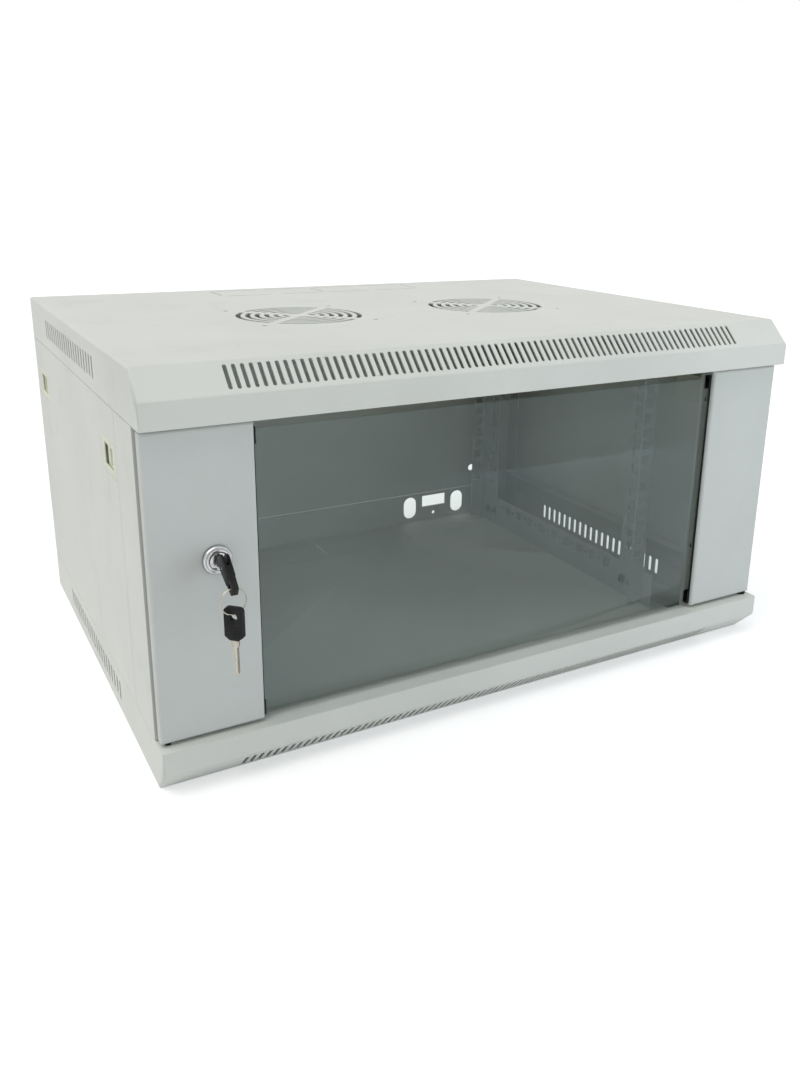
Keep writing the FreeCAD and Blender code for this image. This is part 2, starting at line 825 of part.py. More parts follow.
def glass_clips():
    """Four corner clips. The lower pair is the upper pair turned over about the glass's middle."""
    upper = glass_clip()
    lower = upper.mirror(V(0, 0, (glass_low + glass_high) / 2.0), V(0, 0, 1))
    return [upper, lower, mirror_x(upper), mirror_x(lower)]


def glass_retainer():
    """Right angle strip that holds the glass against its rubber from behind."""
    leg = glass_half + retainer_gap
    z0 = glass_low + clip_height
    z1 = glass_high - clip_height
    return fuse([block(glass_half - retainer_lap, leg + sheet, glass_back_y, glass_back_y + sheet, z0, z1),
                 block(leg, leg + sheet, plate_in, glass_back_y, z0, z1)])


# ---- door hinge ----

def lower_hinge_pin():
    up = V(0, 0, 1)
    inside = door_low + sheet
    bottom = low_rim - pin_reach
    return fuse([rod(hinge_x, hinge_y, bottom, pin_r, lower_pin_length, up),
                 rod(hinge_x, hinge_y, inside, pin_collar_r, pin_collar, up)])


def hinge_washer():
    up = V(0, 0, 1)
    low = low_rim + washer_clear
    disc = rod(hinge_x, hinge_y, low, washer_r, door_low - low, up)
    return disc.cut(rod(hinge_x, hinge_y, low, pin_r + 2.0 * pin_clear, door_low - low, up))


def upper_hinge_pin():
    """Sprung pin: a collar under the door's top fold, and a grip at its lower end."""
    up = V(0, 0, 1)
    top = high_rim + pin_reach
    stop = door_high - sheet - latch_clear
    grip = top - upper_pin_length
    return fuse([rod(hinge_x, hinge_y, grip, pin_r, upper_pin_length, up),
                 rod(hinge_x, hinge_y, stop - pin_collar, pin_collar_r, pin_collar, up),
                 rod(hinge_x, hinge_y, grip - pin_collar, pin_collar_r, 2.0 * pin_collar, up)])


def pin_spring():
    low = door_high - sheet - guide_drop + sheet
    high = door_high - sheet - latch_clear - pin_collar
    return coil(V(hinge_x, hinge_y, low), V(0, 0, 1), pin_spring_r, pin_spring_wire, high - low, 7)


# ---- lock ----

def barrel_end():
    return column_front_y + sheet


def lock_housing():
    """Round barrel with a bezel on the plate's face, bored for the plug."""
    back = V(0, 1, 0)
    bezel = rod(lock_x, door_front_y - bezel_height, lock_z, bezel_r, bezel_height, back)
    bezel = round_edges(bezel, bezel_round, lambda p: p.y < door_front_y - bezel_height + 0.01)
    length = barrel_end() - door_front_y
    barrel = rod(lock_x, door_front_y, lock_z, barrel_r, length, back)
    bore = rod(lock_x, door_front_y - bezel_height - cut_over, lock_z, plug_r + plug_clear,
               length + bezel_height + 2.0 * cut_over, back)
    return fuse([bezel, barrel]).cut(bore)


def lock_nut():
    return nut(lock_x, plate_in, lock_z, barrel_r + barrel_clear, lock_nut_flats, lock_nut_height,
               V(0, 1, 0))


def lock_cylinder():
    """The plug that the key turns, with its keyway open at the front."""
    front = door_front_y - bezel_height - plug_proud
    length = barrel_end() + barrel_end_gap - front
    plug = rod(lock_x, front, lock_z, plug_r, length, V(0, 1, 0))
    way = block(lock_x - keyway_width / 2.0, lock_x + keyway_width / 2.0, front - cut_over,
                front + keyway_depth, lock_z - keyway_height / 2.0, lock_z + keyway_height / 2.0)
    bore = rod(lock_x, front + length, lock_z, cam_screw_r, cam_screw_reach + cut_over, V(0, -1, 0))
    return plug.cut([way, bore])


def lock_cam():
    """A flat arm with a round end, pointing down while the door is unlocked."""
    y0 = barrel_end() + barrel_end_gap
    back = V(0, 1, 0)
    arm = fuse([rod(lock_x, y0, lock_z, cam_half, cam_thick, back),
                block(lock_x - cam_half, lock_x + cam_half, y0, y0 + cam_thick,
                      lock_z - cam_length + cam_half, lock_z),
                rod(lock_x, y0, lock_z - cam_length + cam_half, cam_half, cam_thick, back)])
    return arm.cut(rod(lock_x, y0, lock_z, cam_screw_r + stud_clear, cam_thick, back))


def cam_screw():
    y0 = barrel_end() + barrel_end_gap + cam_thick
    shank = cam_thick + cam_screw_reach
    return fuse([rod(lock_x, y0, lock_z, cam_screw_head_r, cam_screw_head, V(0, 1, 0)),
                 rod(lock_x, y0, lock_z, cam_screw_r - stud_clear, shank, V(0, -1, 0))])


# ---- keys ----

def key_pivot():
    """Where the key's head folds on its blade."""
    front = door_front_y - bezel_height - plug_proud
    return V(lock_x, front - key_neck, lock_z)


def key_blade():
    """Flat blade in the keyway, a neck, and a round eye for the folding head."""
    pivot = key_pivot()
    half = keyway_width / 2.0 - key_clear
    tall = keyway_height / 2.0 - key_clear
    front = door_front_y - bezel_height - plug_proud
    end = front + keyway_depth - key_clear
    eye = rod(lock_x - half, pivot.y, pivot.z, key_eye_r, 2.0 * half, V(1, 0, 0))
    neck = block(lock_x - half, lock_x + half, pivot.y, front, lock_z - key_neck_height / 2.0,
                 lock_z + key_neck_height / 2.0)
    blade = block(lock_x - half, lock_x + half, front - key_blade_root, end, lock_z - tall, lock_z + tall)
    hole = rod(lock_x - 2.0 * half, pivot.y, pivot.z, key_pin_r + key_pin_clear, 4.0 * half, V(1, 0, 0))
    return fuse([eye, neck, blade]).cut(hole)


def leaned(shape):
    """Leans a folding head piece outwards about the pin, from hanging straight down."""
    shape.rotate(key_pivot(), V(1, 0, 0), -head_lean)
    return shape


def key_head():
    """Folding head: a round cap tapering to a thin tab for the ring, slotted for the blade's eye."""
    pivot = key_pivot()
    half_x = head_thick / 2.0
    front, low = pivot.y - head_offset, pivot.z - head_length
    cap_z = pivot.z + head_cap_rise
    cap = rod(lock_x - half_x, front, cap_z, head_cap_r, head_thick, V(1, 0, 0))
    y0, y1 = front - head_cap_r, front + head_cap_r
    taper = prism([V(lock_x - half_x, y0, cap_z), V(lock_x - half_x, y1, cap_z),
                   V(lock_x - half_x, pivot.y + head_end_half, low),
                   V(lock_x - half_x, pivot.y - head_end_half, low)], V(1, 0, 0), head_thick)
    taper = round_edges(taper, head_end_round, lambda p: p.z < low + 0.01, V(1, 0, 0))
    cheeks = [block(side * half_x + lock_x, side * head_tab / 2.0 + lock_x, y0, y1,
                    low - cut_over, low + head_tab_length) for side in (-1.0, 1.0)]
    slot = block(lock_x - key_eye_slot / 2.0, lock_x + key_eye_slot / 2.0, y0 - cut_over, y1 + cut_over,
                 pivot.z - key_eye_r - head_slot_deep, cap_z + head_cap_r + cut_over)
    bore = rod(lock_x - half_x, pivot.y, pivot.z, key_pin_r, head_thick, V(1, 0, 0))
    hole = rod(lock_x - half_x, pivot.y, low + head_hole_inset, head_hole_r, head_thick, V(1, 0, 0))
    return leaned(fuse([cap, taper]).cut(cheeks + [slot, bore, hole]))


def key_pin():
    """The rivet in the folding head."""
    pivot = key_pivot()
    return rod(lock_x - head_thick / 2.0, pivot.y, pivot.z, key_pin_r, head_thick, V(1, 0, 0))


def ring_top():
    """Centre of the ring's wire where it rests in the key head's hole."""
    reach = head_length - head_hole_inset
    lean = math.radians(head_lean)
    hole = key_pivot() - V(0, reach * math.sin(lean), reach * math.cos(lean))
    return hole - V(0, 0, head_hole_r - ring_wire - ring_play)


def key_ring():
    middle = ring_top() - V(0, 0, ring_r)
    return Part.makeTorus(ring_r, ring_wire, middle, V(0, 1, 0))


def spare_hole():
    """Centre of the spare key's hole, hanging on the lowest point of the ring."""
    return ring_top() - V(0, 0, 2.0 * ring_r + spare_hole_r - ring_wire - spare_hole_play)


def turned(shape):
    """Turns a spare key piece about the upright line through its hole."""
    hole = spare_hole()
    shape.rotate(hole, V(0, 0, 1), spare_yaw)
    return shape


def spare_key_head():
    hole = spare_hole()
    half_y, half_x = spare_width / 2.0, spare_thick / 2.0
    top = hole.z + spare_hole_drop
    body = block(hole.x - half_x, hole.x + half_x, hole.y - half_y, hole.y + half_y,
                 top - spare_head, top)
    body = round_edges(body, spare_round, lambda p: True, V(1, 0, 0))
    tab_low = hole.z - spare_hole_r - spare_tab_below
    cheeks = [block(side * half_x + hole.x, side * spare_tab / 2.0 + hole.x, hole.y - half_y - cut_over,
                    hole.y + half_y + cut_over, tab_low, top + cut_over) for side in (-1.0, 1.0)]
    bore = rod(hole.x - half_x, hole.y, hole.z, spare_hole_r, spare_thick, V(1, 0, 0))
    return turned(body.cut(cheeks + [bore]))


def spare_key_blade():
    hole = spare_hole()
    top = hole.z + spare_hole_drop - spare_head
    half_y, half_x = spare_blade_width / 2.0, spare_blade_thick / 2.0
    outline = [V(hole.x - half_x, hole.y - half_y, top), V(hole.x - half_x, hole.y + half_y, top),
               V(hole.x - half_x, hole.y + half_y, top - spare_blade + half_y),
               V(hole.x - half_x, hole.y, top - spare_blade),
               V(hole.x - half_x, hole.y - half_y, top - spare_blade + half_y)]
    return turned(prism(outline, V(1, 0, 0), spare_blade_thick))


# ---- every piece by name ----

def build():
    pieces = {}
    pieces["bottom_cover"] = cover(cable_entries())
    pieces["top_cover"] = mirror_z(cover(fan_grille(-fan_centre_x) + fan_grille(fan_centre_x)))
    pieces["front_column_right"] = front_column(False)
    pieces["front_column_left"] = mirror_x(front_column(True))
    right_rear = rear_column()
    sill = side_sill()
    bracket = depth_bracket()
    rail = rack_rail()
    rear_rail = mirror_y(rail, (front_rail_y + rear_rail_y) / 2.0)
    for side, place in (("right", lambda s: s), ("left", mirror_x)):
        pieces["rear_column_" + side] = place(right_rear)
        pieces["side_sill_lower_" + side] = place(sill)
        pieces["side_sill_upper_" + side] = place(mirror_z(sill))
        pieces["depth_bracket_lower_" + side] = place(bracket)
        pieces["depth_bracket_upper_" + side] = place(mirror_z(bracket))
        pieces["rack_rail_front_" + side] = place(rail)
        pieces["rack_rail_rear_" + side] = place(rear_rail)
        pieces["side_panel_" + side] = place(side_panel())
        pieces["glass_seal_" + side] = place(glass_seal())
        pieces["glass_retainer_" + side] = place(glass_retainer())
        front, rear = latch_centres()
        middle = (front + rear) / 2.0
        for end, turn in (("front", lambda s: s), ("rear", lambda s: mirror_y(s, middle))):
            tag = end + "_" + side
            pieces["latch_housing_" + tag] = place(turn(latch_housing(front)))
            pieces["latch_slider_" + tag] = place(turn(latch_slider(front)))
            pieces["latch_spring_" + tag] = place(turn(latch_spring(front)))
    bolts, nuts = rail_bolts()
    pieces["rail_bolts"] = Part.makeCompound(bolts)
    pieces["rail_nuts"] = Part.makeCompound(nuts)
    pieces["frame_nuts"] = Part.makeCompound(frame_nuts())
    pieces["rear_panel"] = rear_panel()
    pieces["rear_panel_nuts"] = Part.makeCompound(rear_panel_nuts())
    pieces["door_plate_right"] = hinge_plate()
    pieces["door_plate_left"] = lock_plate()
    pieces["door_glass"] = door_glass()
    pieces["glass_clips"] = Part.makeCompound(glass_clips())
    pieces["lower_hinge_pin"] = lower_hinge_pin()
    pieces["hinge_washer"] = hinge_washer()
    pieces["upper_hinge_pin"] = upper_hinge_pin()
    pieces["upper_pin_spring"] = pin_spring()
    pieces["lock_housing"] = lock_housing()
    pieces["lock_nut"] = lock_nut()
    pieces["lock_cylinder"] = lock_cylinder()
    pieces["lock_cam"] = lock_cam()
    pieces["cam_screw"] = cam_screw()
    pieces["key_blade"] = key_blade()
    pieces["key_head"] = key_head()
    pieces["key_pin"] = key_pin()
    pieces["key_ring"] = key_ring()
    pieces["spare_key_head"] = spare_key_head()
    pieces["spare_key_blade"] = spare_key_blade()
    return pieces


os.makedirs("parts", exist_ok=True)
for name, shape in build().items():
    print(name, len(shape.Solids), round(shape.Volume), shape.isValid())
    shape.exportStep("parts/" + name + ".step")
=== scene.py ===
import bpy
import bmesh
import json
import math
from mathutils import Matrix, Vector

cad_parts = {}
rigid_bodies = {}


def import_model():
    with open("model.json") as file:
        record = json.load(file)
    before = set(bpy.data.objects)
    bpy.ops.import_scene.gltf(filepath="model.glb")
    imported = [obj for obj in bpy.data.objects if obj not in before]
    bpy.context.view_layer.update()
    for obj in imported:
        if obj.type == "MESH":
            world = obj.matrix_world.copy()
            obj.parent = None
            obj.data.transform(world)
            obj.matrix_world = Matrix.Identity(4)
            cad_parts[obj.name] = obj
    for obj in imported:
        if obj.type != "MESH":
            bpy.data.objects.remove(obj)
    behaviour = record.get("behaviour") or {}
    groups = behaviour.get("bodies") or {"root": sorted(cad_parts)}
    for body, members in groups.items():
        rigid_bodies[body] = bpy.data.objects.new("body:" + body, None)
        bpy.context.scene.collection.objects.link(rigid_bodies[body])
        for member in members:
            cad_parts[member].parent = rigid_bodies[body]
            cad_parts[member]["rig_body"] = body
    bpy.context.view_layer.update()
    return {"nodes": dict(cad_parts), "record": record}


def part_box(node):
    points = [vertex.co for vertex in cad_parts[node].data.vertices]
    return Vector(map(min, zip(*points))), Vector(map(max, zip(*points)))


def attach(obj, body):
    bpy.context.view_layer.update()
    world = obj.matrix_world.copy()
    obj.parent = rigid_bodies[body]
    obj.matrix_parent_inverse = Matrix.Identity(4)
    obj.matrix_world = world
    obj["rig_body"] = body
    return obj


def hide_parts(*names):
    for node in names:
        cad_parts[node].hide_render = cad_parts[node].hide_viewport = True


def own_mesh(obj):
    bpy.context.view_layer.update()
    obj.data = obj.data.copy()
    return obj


# Wall mount network cabinet: finishes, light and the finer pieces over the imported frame.
# Metres. X runs to the right, Y to the rear, Z up, and the front faces -Y.

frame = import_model()
joints = {joint["name"]: joint for joint in frame["record"]["behaviour"]["joints"]}
slot_of = {part["node"]: part["material_slot"] for part in frame["record"]["subparts"]}

# ---- sizes ----
MM = 0.001
WELD = 0.001 * MM
SHEET = 1.2 * MM
RING_RADIUS = 9.5 * MM
# The spare key is drawn a little shorter than its solid. The solid's hole lies SPARE_HOLE_DROP under its
# top, and the drawn one hangs SPARE_LIFT higher, with SPARE_TOP of the head above it.
SPARE_HOLE_DROP = 8.0 * MM
SPARE_LIFT = 2.2 * MM
SPARE_TOP = 7.0 * MM
SPARE_HEAD = 24.5 * MM

# ---- colours, linear ----
CASE = (0.680, 0.690, 0.645)
# The door plates' colour is the case paint made darker: painted shade on the plates.
DOOR_CASE_PAINT_SHADED = (0.585, 0.605, 0.580)
RACK = (0.520, 0.545, 0.530)
LATCH = (0.690, 0.705, 0.570)
ZINC = (0.560, 0.570, 0.580)
NICKEL = (0.500, 0.480, 0.410)
CHROME = (0.560, 0.570, 0.580)
RUBBER = (0.008, 0.009, 0.009)
KEY_BLACK = (0.006, 0.006, 0.007)
GLASS_TINT = (0.865, 0.892, 0.880)
GLASS_SHINE = (0.800, 0.920, 0.960)
DUST = (0.470, 0.455, 0.410)


# ---- shader maths ----

class Value:
    """A shader socket that can be written into sums."""

    def __init__(self, nodes, socket):
        self.nodes = nodes
        self.socket = socket

    def _math(self, operation, a, b):
        return self.nodes.add("ShaderNodeMath", {"operation": operation}, {0: a, 1: b})

    def __add__(self, other):
        return self._math("ADD", self, other)

    def __sub__(self, other):
        return self._math("SUBTRACT", self, other)

    def __rsub__(self, other):
        return self._math("SUBTRACT", other, self)

    def __mul__(self, other):
        return self._math("MULTIPLY", self, other)

    def __pow__(self, other):
        return self._math("POWER", self, other)

    def most(self, other):
        """The greater of two values."""
        return self._math("MAXIMUM", self, other)

    __radd__ = __add__
    __rmul__ = __mul__


class Finish:
    """The nodes behind a material or a world."""

    def __init__(self, owner, output="ShaderNodeOutputMaterial"):
        owner.use_nodes = True
        self.owner = owner
        self.tree = owner.node_tree
        self.tree.nodes.clear()
        self.output = self.tree.nodes.new(output)

    def add(self, kind, settings=None, inputs=None, output=0):
        """Adds a node: its settings first, then the values or links of its sockets."""
        node = self.tree.nodes.new(kind)
        for key, value in (settings or {}).items():
            setattr(node, key, value)
        for key, value in (inputs or {}).items():
            self.join(node.inputs[key], value)
        return Value(self, node.outputs[output])

    def join(self, socket, value):
        if isinstance(value, Value):
            self.tree.links.new(value.socket, socket)
        elif isinstance(value, tuple) and len(value) == 3 and socket.type == "RGBA":
            socket.default_value = (*value, 1.0)
        else:
            socket.default_value = value

    def ray(self, kind):
        """1 for the rays of a kind, such as Is Camera Ray."""
        return self.add("ShaderNodeLightPath", output=kind)

    def noise(self, scale, detail=3.0, roughness=0.55, distortion=0.0, stretch=None):
        where = self.add("ShaderNodeTexCoord", output="Object")
        if stretch:
            where = self.add("ShaderNodeMapping", None, {"Vector": where, "Scale": stretch})
        return self.add("ShaderNodeTexNoise", None, {
            "Vector": where, "Scale": scale, "Detail": detail, "Roughness": roughness,
            "Distortion": distortion})

    def ramp(self, value, low, high):
        """0 below low, 1 above high, and straight between them."""
        return self.add("ShaderNodeMapRange", {"clamp": True}, {
            "Value": value, "From Min": low, "From Max": high})

    def mix(self, share, a, b):
        """Colour a where share is 0 and colour b where it is 1."""
        return self.add("ShaderNodeMix", {"data_type": "RGBA"}, {0: share, 6: a, 7: b}, 2)

    def rounding(self, radius):
        """The normal of a surface whose edges are rounded by radius."""
        return self.add("ShaderNodeBevel", {"samples": 4}, {"Radius": radius})

    def bump(self, height, strength, distance, over):
        return self.add("ShaderNodeBump", None, {
            "Height": height, "Strength": strength, "Distance": distance, "Normal": over})

    def edges(self, soft):
        """0 on flats, and more where the rounded normal turns from the true one."""
        true = self.add("ShaderNodeNewGeometry", output="True Normal")
        return 1.0 - self.add("ShaderNodeVectorMath", {"operation": "DOT_PRODUCT"},
                              {0: soft, 1: true}, "Value")

    def principled(self, **inputs):
        shader = self.add("ShaderNodeBsdfPrincipled", None, {
            name.replace("_", " "): value for name, value in inputs.items()})
        return self.done(shader)

    def done(self, shader):
        self.join(self.output.inputs["Surface"], shader)
        return self.owner


def scaled(colour, factor, lift=0.0):
    """A colour made stronger or weaker, held within 1."""
    return tuple(min(1.0, lift + factor * c) for c in colour)


# ---- finishes ----

def powder_coat(name, colour, grain=1.0):
    """Baked powder coat: fine orange peel, faint cloudiness, handling marks and rubbed edges."""
    f = Finish(bpy.data.materials.new(name))
    cloud = f.noise(7.0, 4.0)
    peel = f.noise(1500.0, 2.0, 0.6)
    orange = f.noise(420.0, 2.0, 0.5)
    smudge = f.ramp(f.noise(16.0, 5.0, 0.65, 0.8), 0.56, 0.74)
    soft = f.rounding(0.6 * MM)
    rub = f.ramp(f.edges(soft), 0.05, 0.35) * f.ramp(f.noise(60.0, 3.0), 0.42, 0.62)
    scratch = f.ramp(f.noise(24.0, 2.0, 0.5, 0.0, (1.0, 1.0, 26.0)), 0.70, 0.74) * 0.5
    base = f.mix(f.ramp(cloud, 0.32, 0.68), scaled(colour, 0.945), scaled(colour, 1.03))
    base = f.mix(smudge * 0.10, base, DUST)
    base = f.mix(f.ramp(peel, 0.35, 0.65) * 0.06, base, scaled(colour, 0.7))
    base = f.mix(rub * 0.35, base, scaled(colour, 1.12))
    rough = 0.47 + 0.08 * cloud + 0.10 * smudge - 0.10 * rub - 0.10 * scratch
    height = peel * 0.6 + orange
    return f.principled(
        Base_Color=base, Roughness=rough, Specular_IOR_Level=0.42,
        Normal=f.bump(height, 0.10 * grain, 0.35 * MM, soft))


def tinted_glass():
    """Grey-green toughened glass: clear through its faces, with a mirror that grows at a slant."""
    f = Finish(bpy.data.materials.new("glass_tint"))
    smear = f.ramp(f.noise(9.0, 4.0, 0.6, 0.6), 0.45, 0.72)
    speck = f.ramp(f.noise(420.0, 1.0), 0.79, 0.82)
    slant = f.add("ShaderNodeLayerWeight", None, {"Blend": 0.5}, "Facing")
    clear = f.add("ShaderNodeBsdfTransparent", None, {"Color": GLASS_TINT})
    shine = f.add("ShaderNodeBsdfPrincipled", None, {
        "Base Color": f.mix(speck, GLASS_SHINE, DUST), "Metallic": 1.0,
        "Roughness": 0.02 + 0.04 * smear})
    share = 0.032 + 0.96 * slant ** 5.0 + 0.006 * smear + 0.02 * speck
    both = f.add("ShaderNodeMixShader", None, {0: share, 1: clear, 2: shine})
    return f.done(both)


def rubber(name, colour):
    """Extruded rubber: a fine grain and a grey bloom in patches."""
    f = Finish(bpy.data.materials.new(name))
    grain = f.noise(900.0, 3.0)
    bloom = f.ramp(f.noise(30.0, 4.0), 0.5, 0.75)
    base = f.mix(bloom * 0.30, colour, scaled(colour, 1.0, 0.030))
    return f.principled(Base_Color=base, Roughness=0.62 + 0.15 * bloom, Specular_IOR_Level=0.20,
                        Normal=f.bump(grain, 0.25, 0.2 * MM, f.rounding(0.4 * MM)))


def moulded(name, colour, roughness, dirt, gloss):
    """Injection moulded plastic: fine spark texture, worn corners, dust in patches."""
    f = Finish(bpy.data.materials.new(name))
    spark = f.noise(2200.0, 2.0)
    cloud = f.noise(40.0, 3.0)
    soft = f.rounding(0.4 * MM)
    edge = f.ramp(f.edges(soft), 0.05, 0.4)
    base = f.mix(f.ramp(cloud, 0.35, 0.7) * dirt, colour, DUST)
    base = f.mix(edge * 0.25, base, scaled(colour, 1.15, 0.03))
    return f.principled(Base_Color=base, Roughness=roughness + 0.12 * cloud - 0.08 * edge,
                        Specular_IOR_Level=gloss,
                        Normal=f.bump(spark, 0.12, 0.12 * MM, soft))


def plated(name, colour, roughness, tarnish, brush=None):
    """Plated metal: faint draw lines, dull spots, painted shade darkening its hollows, and brighter rubbed
    edges.
    """
    f = Finish(bpy.data.materials.new(name))
    spots = f.ramp(f.noise(260.0, 4.0, 0.6), 0.52, 0.72)
    lines = f.noise(1400.0, 2.0, 0.5, 0.0, brush or (1.0, 1.0, 0.06))
    soft = f.rounding(0.2 * MM)
    edge = f.ramp(f.edges(soft), 0.05, 0.4)
    base = f.mix(spots * tarnish, colour, scaled(colour, 0.45))
    base = f.mix(edge * 0.3, base, scaled(colour, 1.5))
    # Painted shade: hollows found by ambient occlusion are darkened towards a tenth of the colour.
    openness_for_painted_shade = f.add("ShaderNodeAmbientOcclusion", {"samples": 6}, {"Distance": 2.5 * MM}, "AO")
    base = f.mix(f.ramp(openness_for_painted_shade, 0.35, 0.95), scaled(colour, 0.10), base)
    rough = roughness + 0.16 * spots + 0.08 * lines - 0.05 * edge
    return f.principled(Base_Color=base, Metallic=1.0, Roughness=rough,
                        Normal=f.bump(lines, 0.06, 0.1 * MM, soft))


finishes = {
    "case_paint": powder_coat("case_paint", CASE),
    # The door plates' finish carries painted shade in its darker colour.
    "door_paint": powder_coat("door_paint", DOOR_CASE_PAINT_SHADED, 0.8),
    "frame_zinc": powder_coat("frame_zinc", RACK, 0.9),
    "zinc_fastener": plated("zinc_fastener", ZINC, 0.30, 0.35),
    "glass_tint": tinted_glass(),
    "black_rubber": rubber("black_rubber", RUBBER),
    "latch_plastic": moulded("latch_plastic", LATCH, 0.42, 0.12, 0.5),
    "black_plastic": moulded("black_plastic", KEY_BLACK, 0.34, 0.03, 0.16),
    "chrome_lock": plated("chrome_lock", CHROME, 0.13, 0.12, (1.0, 0.05, 1.0)),
    "nickel_key": plated("nickel_key", NICKEL, 0.24, 0.22),
}
for name, node in frame["nodes"].items():
    for place in node.material_slots:
        place.material = finishes[slot_of[name]]


# ---- making pieces ----

def added(name, data):
    """A new object in the scene."""
    thing = bpy.data.objects.new(name, data)
    bpy.context.scene.collection.objects.link(thing)
    return thing


def finished(work, name, body, slot, *nodes, smooth=35.0):
    """Turns a bmesh into a piece that rides on a body, takes a finish and stands for CAD nodes."""
    bmesh.ops.remove_doubles(work, verts=work.verts, dist=WELD)
    bmesh.ops.recalc_face_normals(work, faces=work.faces)
    mesh = bpy.data.meshes.new(name)
    work.to_mesh(mesh)
    work.free()
    mesh.materials.append(finishes[slot])
    mesh.polygons.foreach_set("use_smooth", [True] * len(mesh.polygons))
    mesh.set_sharp_from_angle(angle=math.radians(smooth))
    piece = added(name, mesh)
    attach(piece, body)
    if nodes:
        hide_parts(*nodes)
    return piece


def joined(node):
    """A bmesh of a CAD node's triangles, welded and with its flats made whole."""
    work = bmesh.new()
    work.from_mesh(frame["nodes"][node].data)
    bmesh.ops.remove_doubles(work, verts=work.verts, dist=WELD)
    bmesh.ops.dissolve_limit(work, angle_limit=math.radians(0.5), verts=work.verts,
                             edges=work.edges, delimit={"NORMAL"})
    return work


def round_edges(work, edges, width, segments):
    """Rounds edges by a width."""
    bmesh.ops.bevel(work, geom=edges, offset=width, offset_type="OFFSET", segments=segments,
                    profile=0.5, affect="EDGES", clamp_overlap=True, material=-1)


def rounded(node, width, segments, angle, fit):
    """A bmesh of a CAD node with its sharp edges rounded."""
    work = joined(node)
    for vert in work.verts if fit else ():
        vert.co = fit(vert.co)
    sharp = [e for e in work.edges
             if len(e.link_faces) == 2 and e.calc_face_angle() > math.radians(angle)]
    round_edges(work, sharp, width, segments)
    return work


def softened(node, width, segments=2, angle=40.0, fit=None):
    """A rounded copy of a CAD node, standing for the node."""
    work = rounded(node, width, segments, angle, fit)
    return finished(work, node + "_rounded", frame["nodes"][node]["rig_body"], slot_of[node], node)


def slotted_cover(node):
    """A copy of a cover whose slots end in full rounds."""
    narrow, wide = 1.8 * MM, 5.0 * MM
    nearly_half = 0.46
    work = joined(node)
    corners = {}
    for edge in work.edges:
        if len(edge.link_faces) != 2 or abs(edge.calc_length() - SHEET) > 0.05 * MM:
            continue
        if abs(math.degrees(edge.calc_face_angle()) - 90.0) > 3.0:
            continue
        ends = [f for f in edge.link_faces if len(f.verts) == 4]
        widths = [max(e.calc_length() for e in f.edges) for f in ends]
        if len(ends) == 2 and narrow < min(widths) < wide < max(widths):
            corners.setdefault(round(min(widths) / MM, 1), []).append(edge)
    for width, edges in sorted(corners.items()):
        round_edges(work, [e for e in edges if e.is_valid], nearly_half * width * MM, 4)
    bmesh.ops.triangulate(work, faces=[f for f in work.faces if len(f.verts) > 4])
    return finished(work, node + "_slotted", "cabinet", slot_of[node], node, smooth=25.0)


def solids(node):
    """The lowest and highest corners of each separate solid in a CAD node."""
    work = joined(node)
    left = set(work.verts)
    boxes = []
    while left:
        heap = [left.pop()]
        solid = []
        while heap:
            vert = heap.pop()
            solid.append(vert.co.copy())
            for edge in vert.link_edges:
                other = edge.other_vert(vert)
                if other in left:
                    left.remove(other)
                    heap.append(other)
        boxes.append((Vector([min(c[k] for c in solid) for k in range(3)]),
                      Vector([max(c[k] for c in solid) for k in range(3)])))
    work.free()
    return boxes


def along(axis, place):
    """Turns +Z to an axis and moves the origin to a place."""
    return Matrix.Translation(place) @ Vector(axis).to_track_quat("Z", "Y").to_matrix().to_4x4()


def stamp(work, mesh, matrix):
    """Adds a copy of a mesh to a bmesh."""
    before = set(work.verts)
    work.from_mesh(mesh)
    bmesh.ops.transform(work, matrix=matrix, verts=[v for v in work.verts if v not in before])


def verts_of(geom):
    """The vertices among what an operator made."""
    return [g for g in geom if isinstance(g, bmesh.types.BMVert)]


def pulled(work, faces, move):
    """Extrudes faces as one region and moves the new ones."""
    new = bmesh.ops.extrude_face_region(work, geom=faces)["geom"]
    bmesh.ops.translate(work, vec=move, verts=verts_of(new))


def raised(work, loop, rise, scale):
    """Extrudes a loop of edges by rise along Z and scales the new loop about the Z axis."""
    new = bmesh.ops.extrude_edge_only(work, edges=loop)["geom"]
    verts = verts_of(new)
    bmesh.ops.translate(work, vec=(0.0, 0.0, rise), verts=verts)
    bmesh.ops.scale(work, vec=(scale, scale, 1.0), verts=verts)
    return [g for g in new if isinstance(g, bmesh.types.BMEdge)]


def ring_of(work, points):
    """A closed loop of edges through points."""
    verts = [work.verts.new(p) for p in points]
    return [work.edges.new((a, b)) for a, b in zip(verts, verts[1:] + verts[:1])]


def circle(radius, steps):
    """Points of a circle about the origin, as pairs."""
    angles = [math.tau * k / steps for k in range(steps)]
    return [(radius * math.cos(a), radius * math.sin(a)) for a in angles]


def lathed(outline, steps):
    """A closed form: an outline of (radius, height) pairs spun about the Z axis."""
    work = bmesh.new()
    ring_of(work, [(r, 0.0, z) for r, z in outline])
    bmesh.ops.spin(work, geom=work.verts[:] + work.edges[:], cent=(0.0, 0.0, 0.0),
                   axis=(0.0, 0.0, 1.0), angle=math.tau, steps=steps, use_merge=True)
    return work


def wound(section, axis, turns, steps, rise):
    """A wire of a cross-section, wound about an axis through the origin, its ends closed."""
    work = bmesh.new()
    ring_of(work, section)
    bmesh.ops.spin(work, geom=work.verts[:] + work.edges[:], cent=(0.0, 0.0, 0.0), axis=axis,
                   angle=math.tau * turns, dvec=Vector(axis) * (rise / steps), steps=steps)
    bmesh.ops.holes_fill(work, edges=[e for e in work.edges if e.is_boundary], sides=0)
    return work


